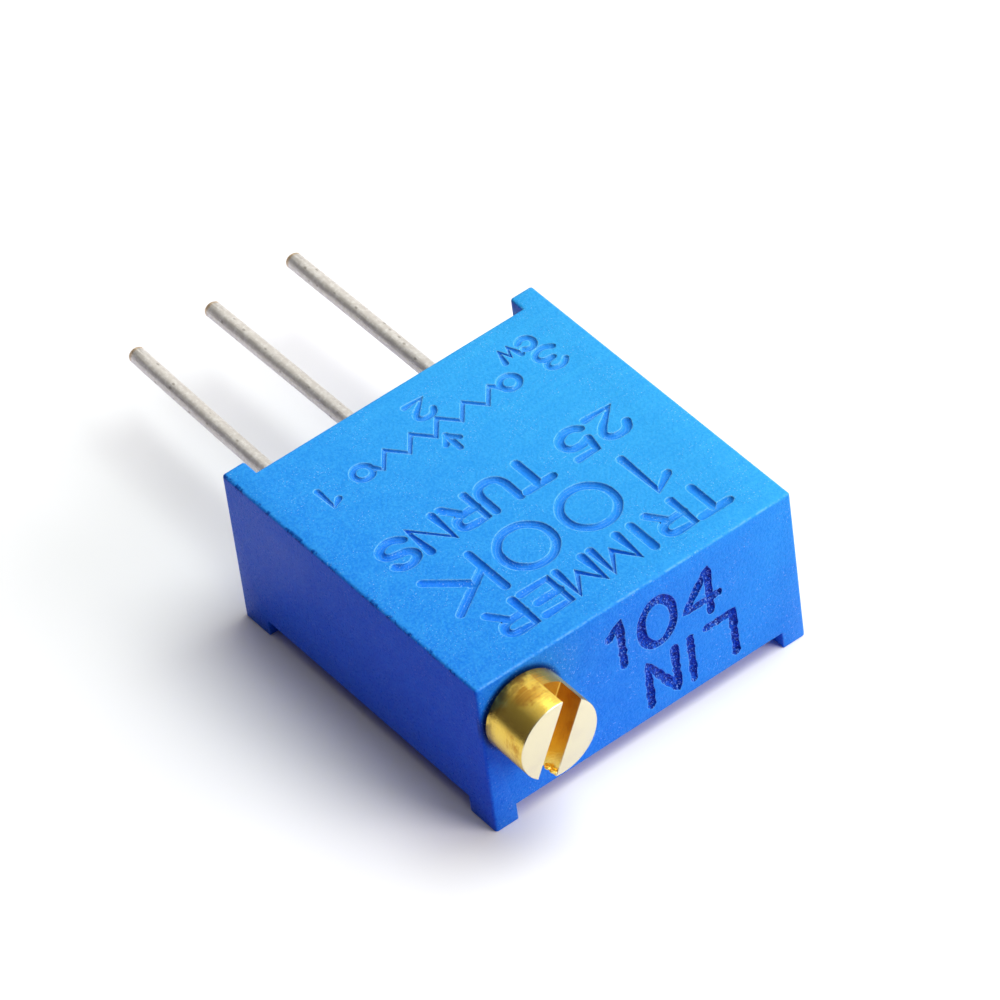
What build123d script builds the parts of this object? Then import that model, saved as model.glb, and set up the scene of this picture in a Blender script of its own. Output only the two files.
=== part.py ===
from build123d import *
import os
from math import atan, cos, degrees, pi, radians, sin, sqrt, tan

# A multi-turn trimmer potentiometer that lies on the four feet of its back.
# +Z comes out of the top face, +X runs along the row of terminals from terminal 1 to terminal 3, and the
# terminals point to +Y. The origin is on the plane that the part rests on, under the middle of its box.
# Lengths are in millimetres, angles in degrees.

# Housing, a moulded cap that is open at the back
body_w = 9.53  # across the row of terminals
body_l = 10.03  # from the screw's face to the tips of the seat feet
body_t = 4.83  # from the tips of the back feet to the top face
foot_w = 0.68
foot_l = 1.00
foot_h = 0.51
edge_round = 0.08
wall = 0.68
roof = 0.55

# Terminals, round wire with a flattened inner end
lead_d = 0.46
lead_pitch = 2.54
lead_z_share = 0.468  # of the body's thickness
lead_free = 7.32  # from the seat feet to the tips
lead_chamfer = 0.05
tab_w = 0.62
tab_slot_gap = 0.06

# Adjusting screw, one turned piece, with its places as shares of the way from its face to the wheel's axis
screw_side = 1.185  # from the side face to the screw's axis
screw_drop = 1.34  # from the top face to the screw's axis
screw_out = 1.48
head_d = 2.24
head_gap = 0.06
slot_w = 0.58
slot_d = 0.78
slot_lean_deg = 26.9
shaft_d = 1.60
groove_d = 1.00
seal_place_share = 0.125
neck_place_share = 0.34
tail_share = 0.227

# Retainer, a fork of sheet metal in the screw's neck
fork_t = 0.25
fork_arm = 0.25
fork_rise = 0.40

# Worm and wheel, with the teeth's sizes as shares of their module
full_turn_deg = 360.0
wheel_teeth = 30
wheel_place_share = 0.462  # of the shell's length, from the screw's face to the wheel's axis
wheel_face = 0.60
addendum_share = 0.85
root_clear_share = 0.25
backlash_share = 0.30
pressure_deg = 20.0
wheel_travel_deg = 300.0
stop_lug_deg = 24.0
stop_clear_deg = 1.0
post_gap = 0.30

# Resistance element, printed on a ceramic plate
plate_t_share = 0.124  # of the body's thickness
film_t = 0.04
pad_margin = 0.14
pad_gap = 0.12
pad_l_share = 0.20  # of the cavity's length
track_reach_share = 0.928  # of the wheel's root radius
track_w_share = 0.40  # of the room between the hub and the track's outer edge
track_overlap_deg = 5.0  # past the wiper's travel at each end
track_lead_deg = 10.0
track_lead_w = 0.36

# The wheel's post and hub, as shares of the track's outer radius
post_r_share = 0.388
hub_wall_share = 0.155

# Wiper, a sheet spring under the wheel
wiper_t = 0.08
wiper_w_share = 0.65  # of a track's width
wiper_reach_share = 0.60  # of the hub's radius
wiper_root = 0.25
wiper_toe = 0.20

# Solder and potting
solder_cover = 0.15
solder_end_gap = 0.10
potting_recess = 0.15

# Clearances
run_clear = 0.03  # radial, of what turns
seat_clear = 0.04  # of what drops into a seat
end_clear = 0.06  # axial, of what turns
thread_clear = 0.05  # of the worm's tips under the shaft's surface
shaft_clear = 0.12  # of the shaft's end from the wheel's teeth
swing_clear = 0.20  # of the wheel in its pocket
contact_gap = 0.01  # under the wiper's toes and round the seal
overrun = 0.50  # of cuts past a face, and of fused pieces into their carrier

# Places along Y
front_y = screw_out - (screw_out + body_l + lead_free) / 2
seat_y = front_y + body_l
rear_y = seat_y - foot_h
tip_y = seat_y + lead_free
shell_l = rear_y - front_y
cavity_front_y = front_y + wall
cavity_rear_y = rear_y - wall
cavity_l = cavity_rear_y - cavity_front_y
cavity_y = (cavity_front_y + cavity_rear_y) / 2
wheel_setback = wheel_place_share * shell_l
wheel_y = front_y + wheel_setback

# The pads, the flattened ends and the solder, along the wall that the terminals leave by
pad_l = pad_l_share * cavity_l
pad_high_y = cavity_rear_y - pad_gap
pad_low_y = pad_high_y - pad_l
pad_y = (pad_low_y + pad_high_y) / 2
solder_low_y = pad_low_y + solder_end_gap
solder_high_y = pad_high_y - solder_end_gap
tab_low_y = solder_low_y + solder_end_gap

# Places along X and Z
screw_x = screw_side - body_w / 2
screw_z = body_t - screw_drop
wheel_x = 0.0
cavity_w = body_w - 2 * wall
roof_z = body_t - roof
lead_z = lead_z_share * body_t
tab_z = lead_z - lead_d / 2  # underside of the flattened ends, on the printed pads
plate_top_z = tab_z - film_t
plate_z = plate_top_z - plate_t_share * body_t
potting_z = foot_h + potting_recess

# The flattened end keeps the wire's section
tab_t = pi * lead_d**2 / 4 / tab_w
pad_w = tab_w + 2 * pad_margin
solder_top_w = tab_w + 2 * seat_clear
solder_t = tab_t + solder_cover

# Radii of the worm, under the shaft's surface, and of the wheel that reaches it from the middle of the body
bore_r = shaft_d / 2 + run_clear
worm_tip_r = shaft_d / 2 - thread_clear
wheel_pitch_r = (wheel_x - screw_x - worm_tip_r) / (1 - 2 * addendum_share / wheel_teeth)
tooth_module = 2 * wheel_pitch_r / wheel_teeth
tooth_addendum = addendum_share * tooth_module
root_clear = root_clear_share * tooth_module
worm_pitch_r = worm_tip_r - tooth_addendum
worm_root_r = worm_pitch_r - tooth_addendum - root_clear
wheel_tip_r = wheel_pitch_r + tooth_addendum
wheel_root_r = wheel_pitch_r - tooth_addendum - root_clear
pocket_r = wheel_tip_r + swing_clear

# Radii of the tracks, which take the room under the wheel or up to the pads, and of the hub inside them
track_out_r = min(track_reach_share * wheel_root_r, pad_low_y - pad_gap - wheel_y)
post_r = post_r_share * track_out_r
hub_bore_r = post_r + run_clear
hub_r = hub_bore_r + hub_wall_share * track_out_r
stop_r = hub_r + swing_clear
track_w = track_w_share * (track_out_r - hub_r)
track_r = track_out_r - track_w / 2
collector_r = hub_r + seat_clear + track_w / 2
wiper_w = wiper_w_share * track_w
wiper_reach = wiper_reach_share * hub_r

# Levels of the wheel, whose teeth stand level with the worm
wheel_low_z = screw_z - wheel_face / 2
wheel_high_z = screw_z + wheel_face / 2
hub_low_z = tab_z + post_gap
hub_high_z = roof_z - end_clear
stop_low_z = wheel_high_z + end_clear

# The middle of the wiper's travel points to the screw's face, so the track's gap faces the terminals
mid_travel_deg = -full_turn_deg / 4
gap_middle_deg = mid_travel_deg + full_turn_deg / 2
track_spread_deg = wheel_travel_deg + 2 * track_overlap_deg
track_gap_deg = full_turn_deg - track_spread_deg
stop_spread_deg = full_turn_deg - wheel_travel_deg - stop_lug_deg - 2 * stop_clear_deg

# The worm's lead, the thread's lean, and its length, which lets the wheel's teeth pass the shaft's end
worm_lead = pi * tooth_module
lead_angle_deg = degrees(atan(worm_lead / (2 * pi * worm_pitch_r)))
worm_half_l = sqrt(wheel_tip_r**2 - (wheel_x - screw_x - shaft_d / 2) ** 2) + shaft_clear
worm_start_y = wheel_y - worm_half_l
worm_end_y = wheel_y + worm_half_l
tail_l = tail_share * wheel_setback
tail_y = worm_end_y + tail_l
thread_end_y = worm_end_y - worm_lead / 2
tooth_half_w = (worm_lead / 2 - backlash_share * tooth_module) / 2

# The seal's groove, the neck and the retainer's fork
seal_wire = bore_r - groove_d / 2 - contact_gap
seal_low_y = front_y + seal_place_share * wheel_setback
seal_high_y = seal_low_y + seal_wire + 2 * seat_clear
neck_low_y = front_y + neck_place_share * wheel_setback
neck_high_y = neck_low_y + fork_t + 2 * seat_clear
neck_y = (neck_low_y + neck_high_y) / 2
fork_w = groove_d + 2 * fork_arm

# The thread starts inside the shaft, turned so that it comes to the wheel between two teeth
thread_start_y = (neck_high_y + worm_start_y) / 2
thread_turn_deg = full_turn_deg * (1 / 4 - (wheel_y - thread_start_y) / worm_lead)

# The slots and the pocket in the wall that the terminals leave by
terminal_slot_w = tab_w + 2 * tab_slot_gap
terminal_slot_z = tab_z + tab_t + tab_slot_gap
terminal_pocket_w = 2 * lead_pitch + pad_w + 2 * pad_gap
terminal_pocket_l = cavity_rear_y - wheel_y - track_r
terminal_pocket_z = tab_z + solder_t + swing_clear

# Terminals 1, 2 and 3 by their place along X
terminals = {1: -lead_pitch, 2: 0.0, 3: lead_pitch}

# Planes: across the screw's axis at the screw's face, and across the wheel's axis on the resting plane
screw_plane = Plane(origin=(screw_x, front_y, screw_z), x_dir=(1, 0, 0), z_dir=(0, 1, 0))
wheel_plane = Plane(origin=(wheel_x, wheel_y, 0))
screw_axis = Axis((screw_x, front_y, screw_z), (0, 1, 0))


def across_y(y):
    """Plane at a place along Y, with its own Y up and its normal to -Y."""
    return Plane(origin=(0, y, 0), x_dir=(1, 0, 0), z_dir=(0, -1, 0))


def ring_sector(inner_r, outer_r, middle, spread):
    """Flat ring between two radii, over a spread of degrees about a middle angle."""
    with BuildSketch(Plane.XY, mode=Mode.PRIVATE) as sector:
        with BuildLine():
            outer = CenterArc((0, 0), outer_r, middle - spread / 2, spread)
            inner = CenterArc((0, 0), inner_r, middle - spread / 2, spread)
            Line(outer @ 0, inner @ 0)
            Line(outer @ 1, inner @ 1)
        make_face()
    return sector.sketch


def terminal_slot(low_z):
    """Section of the wall's slots from a level up to just over each terminal's flattened end."""
    with BuildSketch(Plane.XY, mode=Mode.PRIVATE) as slots:
        for x in terminals.values():
            with Locations((x, low_z)):
                Rectangle(terminal_slot_w, terminal_slot_z - low_z, align=(Align.CENTER, Align.MIN))
    return slots.sketch


def fork_slot():
    """Plan of the slot that the retainer drops into."""
    with BuildSketch(Plane.XY, mode=Mode.PRIVATE) as slot:
        with Locations((screw_x, neck_y)):
            Rectangle(fork_w + 2 * seat_clear, fork_t + 2 * seat_clear)
    return slot.sketch


def tooth_outline(root_r, tip_r, pitch_r, flank_deg):
    """Corners of a tooth that points along X, from a root radius to a tip radius."""
    root_half_w = tooth_half_w + (pitch_r - root_r) * tan(radians(flank_deg))
    tip_half_w = tooth_half_w - (tip_r - pitch_r) * tan(radians(flank_deg))
    return [(root_r, -root_half_w), (tip_r, -tip_half_w), (tip_r, tip_half_w), (root_r, root_half_w)]


os.makedirs("parts", exist_ok=True)

# Housing
with BuildPart() as housing:
    # The block with a rail at each end of the terminals' side, and four feet on the back
    with BuildSketch(Plane.XY.offset(foot_h)):
        with Locations((0, front_y)):
            Rectangle(body_w, shell_l, align=(Align.CENTER, Align.MIN))
        with Locations((0, rear_y + foot_h / 2)):
            with GridLocations(body_w - foot_w, 0, 2, 1):
                Rectangle(foot_w, foot_h)
    extrude(amount=body_t - foot_h)
    with BuildSketch(Plane.XY):
        with Locations((0, (front_y + seat_y) / 2)):
            with GridLocations(body_w - foot_w, body_l - foot_l, 2, 2):
                Rectangle(foot_w, foot_l)
    extrude(amount=foot_h)
    fillet(housing.edges().filter_by(Axis.Z).group_by(Axis.Y)[0].group_by(SortBy.LENGTH)[-1], edge_round)
    fillet(housing.edges().filter_by(Axis.Z).group_by(Axis.Y)[-1], edge_round)
    fillet(housing.faces().sort_by(Axis.Z)[-1].edges(), edge_round)
    # The space for the ceramic plate and the potting
    with BuildSketch(Plane.XY.offset(foot_h)):
        with Locations((0, cavity_y)):
            Rectangle(cavity_w, cavity_l)
    extrude(amount=plate_top_z - foot_h, mode=Mode.SUBTRACT)
    # The wheel's round pocket
    with BuildSketch(wheel_plane.offset(plate_top_z)):
        Circle(pocket_r)
    extrude(amount=roof_z - plate_top_z, mode=Mode.SUBTRACT)
    # The pocket over the soldered ends, and the slots that the terminals leave by
    with BuildSketch(Plane.XY.offset(plate_top_z)):
        with Locations((0, cavity_rear_y)):
            Rectangle(terminal_pocket_w, terminal_pocket_l, align=(Align.CENTER, Align.MAX))
    extrude(amount=terminal_pocket_z - plate_top_z, mode=Mode.SUBTRACT)
    with BuildSketch(across_y(rear_y + overrun)):
        add(terminal_slot(foot_h))
    extrude(amount=wall + overrun, mode=Mode.SUBTRACT)
    # The screw's bore, the blind bore of its tail and the retainer's slot
    with BuildSketch(screw_plane.offset(-overrun)):
        Circle(bore_r)
    extrude(amount=worm_end_y + end_clear - front_y + overrun, mode=Mode.SUBTRACT)
    with BuildSketch(screw_plane.offset(worm_end_y - front_y)):
        Circle(worm_root_r + run_clear)
    extrude(amount=tail_l + end_clear, mode=Mode.SUBTRACT)
    with BuildSketch(Plane.XY.offset(foot_h)):
        add(fork_slot())
    extrude(amount=screw_z + fork_rise + seat_clear - foot_h, mode=Mode.SUBTRACT)
    # The wheel's post and the stop for its lug, both under the roof
    with BuildSketch(wheel_plane.offset(hub_low_z)):
        Circle(post_r)
    extrude(amount=roof_z - hub_low_z)
    with BuildSketch(wheel_plane.offset(stop_low_z)):
        add(ring_sector(stop_r, pocket_r + swing_clear, gap_middle_deg, stop_spread_deg))
    extrude(amount=roof_z - stop_low_z)
housing.part.label = "housing"
export_step(housing.part, "parts/housing.step")

# Adjusting screw
with BuildPart() as adjusting_screw:
    # Head, shaft with the seal's groove and the neck, core of the worm and tail
    with BuildSketch(Plane(origin=(screw_x, 0, screw_z))):
        with BuildLine():
            Polyline(
                (0, front_y - screw_out),
                (head_d / 2, front_y - screw_out),
                (head_d / 2, front_y - head_gap),
                (shaft_d / 2, front_y - head_gap),
                (shaft_d / 2, seal_low_y),
                (groove_d / 2, seal_low_y),
                (groove_d / 2, seal_high_y),
                (shaft_d / 2, seal_high_y),
                (shaft_d / 2, neck_low_y),
                (groove_d / 2, neck_low_y),
                (groove_d / 2, neck_high_y),
                (shaft_d / 2, neck_high_y),
                (shaft_d / 2, worm_start_y),
                (worm_root_r, worm_start_y),
                (worm_root_r, tail_y),
                (0, tail_y),
                close=True,
            )
        make_face()
    revolve(axis=screw_axis)
    # The worm's thread
    with BuildLine() as thread_path:
        Helix(
            worm_lead,
            thread_end_y - thread_start_y,
            worm_pitch_r,
            center=(screw_x, thread_start_y, screw_z),
            direction=(0, 1, 0),
        )
    thread_line = thread_path.line.rotate(screw_axis, thread_turn_deg)
    thread_plane = Plane(
        origin=(screw_x, thread_start_y, screw_z),
        x_dir=(sin(radians(thread_turn_deg)), 0, cos(radians(thread_turn_deg))),
        z_dir=thread_line % 0,
    )
    thread_corners = tooth_outline(worm_root_r - root_clear, worm_tip_r, worm_pitch_r, pressure_deg)
    with BuildSketch(thread_plane):
        with BuildLine():
            Polyline(*thread_corners, close=True)
        make_face()
    sweep(path=thread_line, is_frenet=True)
    # The slot for a screwdriver
    with BuildSketch(screw_plane.offset(-screw_out - overrun)):
        Rectangle(slot_w, head_d + 2 * overrun, rotation=slot_lean_deg)
    extrude(amount=slot_d + overrun, mode=Mode.SUBTRACT)
adjusting_screw.part.label = "adjusting_screw"
export_step(adjusting_screw.part, "parts/adjusting_screw.step")

# Seal ring in the screw's groove
with BuildPart() as screw_o_ring:
    with BuildSketch(Plane(origin=(screw_x, 0, screw_z))):
        with Locations((groove_d / 2 + seal_wire / 2, (seal_low_y + seal_high_y) / 2)):
            Circle(seal_wire / 2)
    revolve(axis=screw_axis)
screw_o_ring.part.label = "screw_o_ring"
export_step(screw_o_ring.part, "parts/screw_o_ring.step")

# Retainer, a fork that stands on the ceramic plate and straddles the screw's neck
with BuildPart() as screw_retainer:
    with BuildSketch(across_y(neck_y + fork_t / 2)):
        with Locations((screw_x, plate_top_z)):
            Rectangle(fork_w, screw_z + fork_rise - plate_top_z, align=(Align.CENTER, Align.MIN))
        with Locations((screw_x, screw_z)):
            Circle(groove_d / 2 + run_clear, mode=Mode.SUBTRACT)
            Rectangle(
                groove_d + 2 * run_clear,
                fork_rise + overrun,
                align=(Align.CENTER, Align.MIN),
                mode=Mode.SUBTRACT,
            )
    extrude(amount=fork_t)
screw_retainer.part.label = "screw_retainer"
export_step(screw_retainer.part, "parts/screw_retainer.step")

# Worm wheel: one leaning tooth, then the disc, hub, stop lug and the ring of teeth
with BuildPart() as tooth:
    tooth_lean = tan(radians(lead_angle_deg))
    flank_deg = pressure_deg - full_turn_deg / 4 / wheel_teeth
    tooth_corners = tooth_outline(wheel_root_r - root_clear, wheel_tip_r, wheel_pitch_r, flank_deg)
    with BuildSketch(Plane(origin=(0, -tooth_lean * wheel_face / 2, -wheel_face / 2))):
        with BuildLine():
            Polyline(*tooth_corners, close=True)
        make_face()
    extrude(amount=wheel_face / cos(radians(lead_angle_deg)), dir=(0, tooth_lean, 1))

with BuildPart() as worm_wheel:
    with BuildSketch(wheel_plane.offset(wheel_low_z)):
        Circle(wheel_root_r)
    extrude(amount=wheel_face)
    with BuildSketch(wheel_plane.offset(hub_low_z)):
        Circle(hub_r)
    extrude(amount=hub_high_z - hub_low_z)
    with BuildSketch(wheel_plane.offset(wheel_high_z)):
        add(ring_sector(stop_r, wheel_root_r, mid_travel_deg, stop_lug_deg))
    extrude(amount=hub_high_z - wheel_high_z)
    with Locations((wheel_x, wheel_y, screw_z)):
        with PolarLocations(0, wheel_teeth, start_angle=full_turn_deg / 2 / wheel_teeth):
            add(tooth.part)
    with BuildSketch(wheel_plane.offset(hub_low_z)):
        Circle(hub_bore_r)
    extrude(amount=hub_high_z - hub_low_z, mode=Mode.SUBTRACT)
worm_wheel.part.label = "worm_wheel"
export_step(worm_wheel.part, "parts/worm_wheel.step")

# Wiper: a flat ring under the wheel with a bent finger on each track
with BuildPart() as wiper_spring:
    with BuildSketch(wheel_plane.offset(wheel_low_z - wiper_t)):
        Circle(track_out_r)
        Circle(hub_r, mode=Mode.SUBTRACT)
    extrude(amount=wiper_t)
    for contact_r in (collector_r, track_r):
        with BuildSketch(across_y(wheel_y - contact_r + wiper_w / 2)):
            root_z = wheel_low_z - wiper_t / 2
            toe_z = tab_z + contact_gap + wiper_t / 2
            with BuildLine():
                Polyline(
                    (wheel_x - wiper_reach - wiper_root, root_z),
                    (wheel_x - wiper_reach, root_z),
                    (wheel_x - wiper_toe / 2, toe_z),
                    (wheel_x + wiper_toe / 2, toe_z),
                    (wheel_x + wiper_toe, toe_z + wiper_toe / 2),
                )
            trace(line_width=wiper_t)
        extrude(amount=wiper_w)
wiper_spring.part.label = "wiper_spring"
export_step(wiper_spring.part, "parts/wiper_spring.step")

# Ceramic plate
with BuildPart() as ceramic_plate:
    with BuildSketch(Plane.XY.offset(plate_z)):
        with Locations((0, cavity_y)):
            Rectangle(cavity_w - 2 * seat_clear, cavity_l - 2 * seat_clear)
    extrude(amount=plate_top_z - plate_z)
ceramic_plate.part.label = "ceramic_plate"
export_step(ceramic_plate.part, "parts/ceramic_plate.step")

# Resistance track
with BuildPart() as resistance_track:
    with BuildSketch(wheel_plane.offset(plate_top_z)):
        add(ring_sector(track_r - track_w / 2, track_out_r, mid_travel_deg, track_spread_deg))
    extrude(amount=film_t)
resistance_track.part.label = "resistance_track"
export_step(resistance_track.part, "parts/resistance_track.step")

# Collector track, with its strip to the middle terminal
with BuildPart() as collector_track:
    with BuildSketch(wheel_plane.offset(plate_top_z)):
        Circle(collector_r + track_w / 2)
        Rectangle(track_lead_w, pad_low_y - wheel_y + pad_gap, align=(Align.CENTER, Align.MIN))
        Circle(collector_r - track_w / 2, mode=Mode.SUBTRACT)
    with BuildSketch(Plane.XY.offset(plate_top_z)):
        with Locations((terminals[2], pad_y)):
            Rectangle(pad_w, pad_l)
    extrude(amount=film_t)
collector_track.part.label = "collector_track"
export_step(collector_track.part, "parts/collector_track.step")

# End pads, from the ends of the resistance track to the outer terminals
lead_turn_deg = (track_gap_deg - track_lead_deg) / 2
lead_out_r = (pad_low_y + track_lead_w - wheel_y) / cos(radians(lead_turn_deg - track_lead_deg / 2))
for number, side in ((1, -1), (3, 1)):
    with BuildPart() as end_pad:
        with BuildSketch(wheel_plane.offset(plate_top_z)):
            lead_middle_deg = gap_middle_deg - side * lead_turn_deg
            add(ring_sector(track_r - track_w / 2, lead_out_r, lead_middle_deg, track_lead_deg))
        with BuildSketch(Plane.XY.offset(plate_top_z)):
            bar_x = wheel_x + lead_out_r * cos(radians(lead_middle_deg))
            with Locations(((bar_x + terminals[number]) / 2, pad_low_y + track_lead_w / 2)):
                Rectangle(abs(terminals[number] - bar_x), track_lead_w)
            with Locations((terminals[number], pad_y)):
                Rectangle(pad_w, pad_l)
        extrude(amount=film_t)
    end_pad.part.label = f"end_pad_{number}"
    export_step(end_pad.part, f"parts/end_pad_{number}.step")

# Terminals, each soldered to its pad
for number, x in terminals.items():
    with BuildPart() as terminal:
        with BuildSketch(across_y(tip_y)):
            with Locations((x, lead_z)):
                Circle(lead_d / 2)
        extrude(amount=tip_y - rear_y)
        chamfer(terminal.edges().sort_by(Axis.Y)[-1], lead_chamfer)
        with BuildSketch(Plane.XY.offset(tab_z)):
            with Locations((x, rear_y)):
                Rectangle(tab_w, rear_y - tab_low_y, align=(Align.CENTER, Align.MAX))
        extrude(amount=tab_t)
    terminal.part.label = f"terminal_{number}"
    export_step(terminal.part, f"parts/terminal_{number}.step")

    with BuildPart() as solder_joint:
        with BuildSketch(across_y(solder_high_y)):
            with BuildLine():
                Polyline(
                    (x - pad_w / 2, tab_z),
                    (x + pad_w / 2, tab_z),
                    (x + solder_top_w / 2, tab_z + solder_t),
                    (x - solder_top_w / 2, tab_z + solder_t),
                    close=True,
                )
            make_face()
        extrude(amount=solder_high_y - solder_low_y)
        add(terminal.part, mode=Mode.SUBTRACT)
    solder_joint.part.label = f"solder_joint_{number}"
    export_step(solder_joint.part, f"parts/solder_joint_{number}.step")

# Potting, which seals the back and fills the slots round the terminals
with BuildPart() as potting:
    with BuildSketch(Plane.XY.offset(potting_z)):
        with Locations((0, cavity_y)):
            Rectangle(cavity_w, cavity_l)
        add(fork_slot())
    extrude(amount=plate_z - potting_z)
    with BuildSketch(across_y(rear_y)):
        add(terminal_slot(potting_z))
    extrude(amount=wall)
    for x in terminals.values():
        with BuildSketch(Plane.XY.offset(tab_z)):
            with Locations((x, rear_y + overrun)):
                Rectangle(tab_w, wall + 2 * overrun, align=(Align.CENTER, Align.MAX))
        extrude(amount=tab_t, mode=Mode.SUBTRACT)
potting.part.label = "potting"
export_step(potting.part, "parts/potting.step")
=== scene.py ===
# %% [markdown]
# # A trimmer potentiometer, lying on its back
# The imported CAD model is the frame: it fixes where every piece is and how it moves. This lesson dresses that frame.
# The visible pieces are modelled again with rounded edges, recessed marks, a turned screw and drawn wire, and the
# pieces inside keep their CAD shape and get a finish of their own.

# %% Load the frame
import bmesh
import bpy
import math
import random
from mathutils import Matrix, Vector


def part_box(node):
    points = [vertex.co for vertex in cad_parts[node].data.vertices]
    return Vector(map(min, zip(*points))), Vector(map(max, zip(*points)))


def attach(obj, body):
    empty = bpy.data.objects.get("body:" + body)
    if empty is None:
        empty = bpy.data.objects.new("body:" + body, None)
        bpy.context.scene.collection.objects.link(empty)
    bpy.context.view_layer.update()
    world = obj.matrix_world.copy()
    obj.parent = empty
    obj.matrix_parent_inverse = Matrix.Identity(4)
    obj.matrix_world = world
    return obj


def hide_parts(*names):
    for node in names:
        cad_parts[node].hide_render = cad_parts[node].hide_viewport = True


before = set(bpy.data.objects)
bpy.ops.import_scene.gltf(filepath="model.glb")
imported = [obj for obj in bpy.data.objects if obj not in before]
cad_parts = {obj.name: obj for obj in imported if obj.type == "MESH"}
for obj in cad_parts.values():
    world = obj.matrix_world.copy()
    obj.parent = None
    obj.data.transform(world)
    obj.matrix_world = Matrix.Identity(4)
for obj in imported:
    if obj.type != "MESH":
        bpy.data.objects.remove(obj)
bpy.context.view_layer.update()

# %% [markdown]
# ## Working in millimetres
# The part is ten millimetres long, and Blender's operators have thresholds made for metre-sized things: merging by
# distance would swallow a whole edge here. So each piece is modelled with one unit as one millimetre, and is scaled
# down once, when it is finished. The sizes come from the frame where a node has them, and from the drawing elsewhere.

# %% Sizes of the real piece, in millimetres
MM = 0.001
TINY = 1e-4


def node_box(node):
    """Lowest and highest corner of a CAD node, in millimetres."""
    low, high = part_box(node)
    return low / MM, high / MM


case_low, case_high = node_box("housing")
screw_low, screw_high = node_box("adjusting_screw")
seal_low, seal_high = node_box("screw_o_ring")
plate_low, plate_high = node_box("ceramic_plate")
wheel_low, wheel_high = node_box("worm_wheel")
resin_low_z = node_box("potting")[0].z
foot_w, foot_l, foot_h = 0.68, 1.00, 0.51
wall, roof = 0.68, 0.55
front_y, seat_y, top_z = case_low.y, case_high.y, case_high.z
rear_y = seat_y - foot_h
half_w = case_high.x
screw_x, screw_z = (seal_low.x + seal_high.x) / 2, (seal_low.z + seal_high.z) / 2
wheel_y = (wheel_low.y + wheel_high.y) / 2
print("screw axis:", round(screw_x, 3), round(screw_z, 3), "wheel axis:", round(wheel_y, 3))

# %% [markdown]
# ## Small tools for hand work
# Operators act on whatever is selected, so every step starts by deselecting all, and then picks faces or edges by
# where they are. A cut is a Boolean modifier that is applied at once, and its cutter is thrown away. A piece that was
# drawn out of a flat face is open where it began, so its ends are filled and its faces turned outwards.

# %% Tools: selecting, starting shapes, cuts


def only(piece):
    """Leaves edit mode and makes this the one selected piece."""
    if bpy.context.object and bpy.context.object.mode != "OBJECT":
        bpy.ops.object.mode_set(mode="OBJECT")
    bpy.ops.object.select_all(action="DESELECT")
    if piece:
        piece.select_set(True)
        bpy.context.view_layer.objects.active = piece


def pick(piece, kind, test):
    """Opens a piece in edit mode with the faces or edges selected that pass a test, and returns how many."""
    only(piece)
    bpy.ops.object.mode_set(mode="EDIT")
    bpy.ops.mesh.select_mode(type=kind)
    bpy.ops.mesh.select_all(action="DESELECT")
    mesh = bmesh.from_edit_mesh(piece.data)
    mesh.normal_update()
    chosen = [part for part in (mesh.faces if kind == "FACE" else mesh.edges) if test(part)]
    for part in chosen:
        part.select = True
    mesh.select_flush_mode()
    bmesh.update_edit_mesh(piece.data)
    return len(chosen)


def middle(part):
    """Middle of an edge or a face."""
    return sum((v.co for v in part.verts), Vector()) / len(part.verts)


def place_applied(piece):
    """Moves a piece's place, turn and scale into its mesh."""
    only(piece)
    bpy.ops.object.transform_apply(location=True, rotation=True, scale=True)
    return piece


def block(name, low, high):
    """Box between two corners, to be shaped further."""
    only(None)
    low, high = Vector(low), Vector(high)
    bpy.ops.mesh.primitive_cube_add(size=1, location=(low + high) / 2)
    piece = bpy.context.object
    piece.name, piece.scale = name, high - low
    return place_applied(piece)


def drum(name, centre, radius, length, along, sides=96):
    """Round bar about X, Y or Z, to be shaped further or to cut with."""
    only(None)
    turn = {"X": (0, math.pi / 2, 0), "Y": (-math.pi / 2, 0, 0), "Z": (0, 0, 0)}[along]
    bpy.ops.mesh.primitive_cylinder_add(vertices=sides, radius=radius, depth=length, location=centre, rotation=turn)
    piece = bpy.context.object
    piece.name = name
    return place_applied(piece)


def join_with(piece, tool, operation="DIFFERENCE", own_crossings=False):
    """Applies a Boolean of one piece with another, which is used up."""
    only(piece)
    step = piece.modifiers.new("cut", "BOOLEAN")
    step.operation, step.solver, step.object = operation, "EXACT", tool
    step.use_self = own_crossings
    bpy.ops.object.modifier_apply(modifier=step.name)
    bpy.data.objects.remove(tool)
    return piece


def closed(piece):
    """Fills the open ends of a piece and turns its faces outwards."""
    if pick(piece, "EDGE", lambda edge: edge.is_boundary):
        bpy.ops.mesh.edge_face_add()
    bpy.ops.mesh.select_all(action="SELECT")
    bpy.ops.mesh.normals_make_consistent(inside=False)
    only(piece)
    return piece


def everything(part):
    """Test that picks all."""
    return True


def finished(piece, angle=35.0):
    """Brings a piece from millimetres to metres, with smooth shading over its rounded edges."""
    place_applied(piece)
    piece.scale = (MM, MM, MM)
    place_applied(piece)
    bpy.ops.object.shade_smooth_by_angle(angle=math.radians(angle))
    print(piece.name, "has", len(piece.data.polygons), "faces")
    return piece


# %% [markdown]
# ## The camera
# The photograph is taken from high on the screw's side with a long lens, the camera rolled a little. The three axes
# below come from fitting a pinhole camera to the corners of the body, so the render lies over the photograph.

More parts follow.
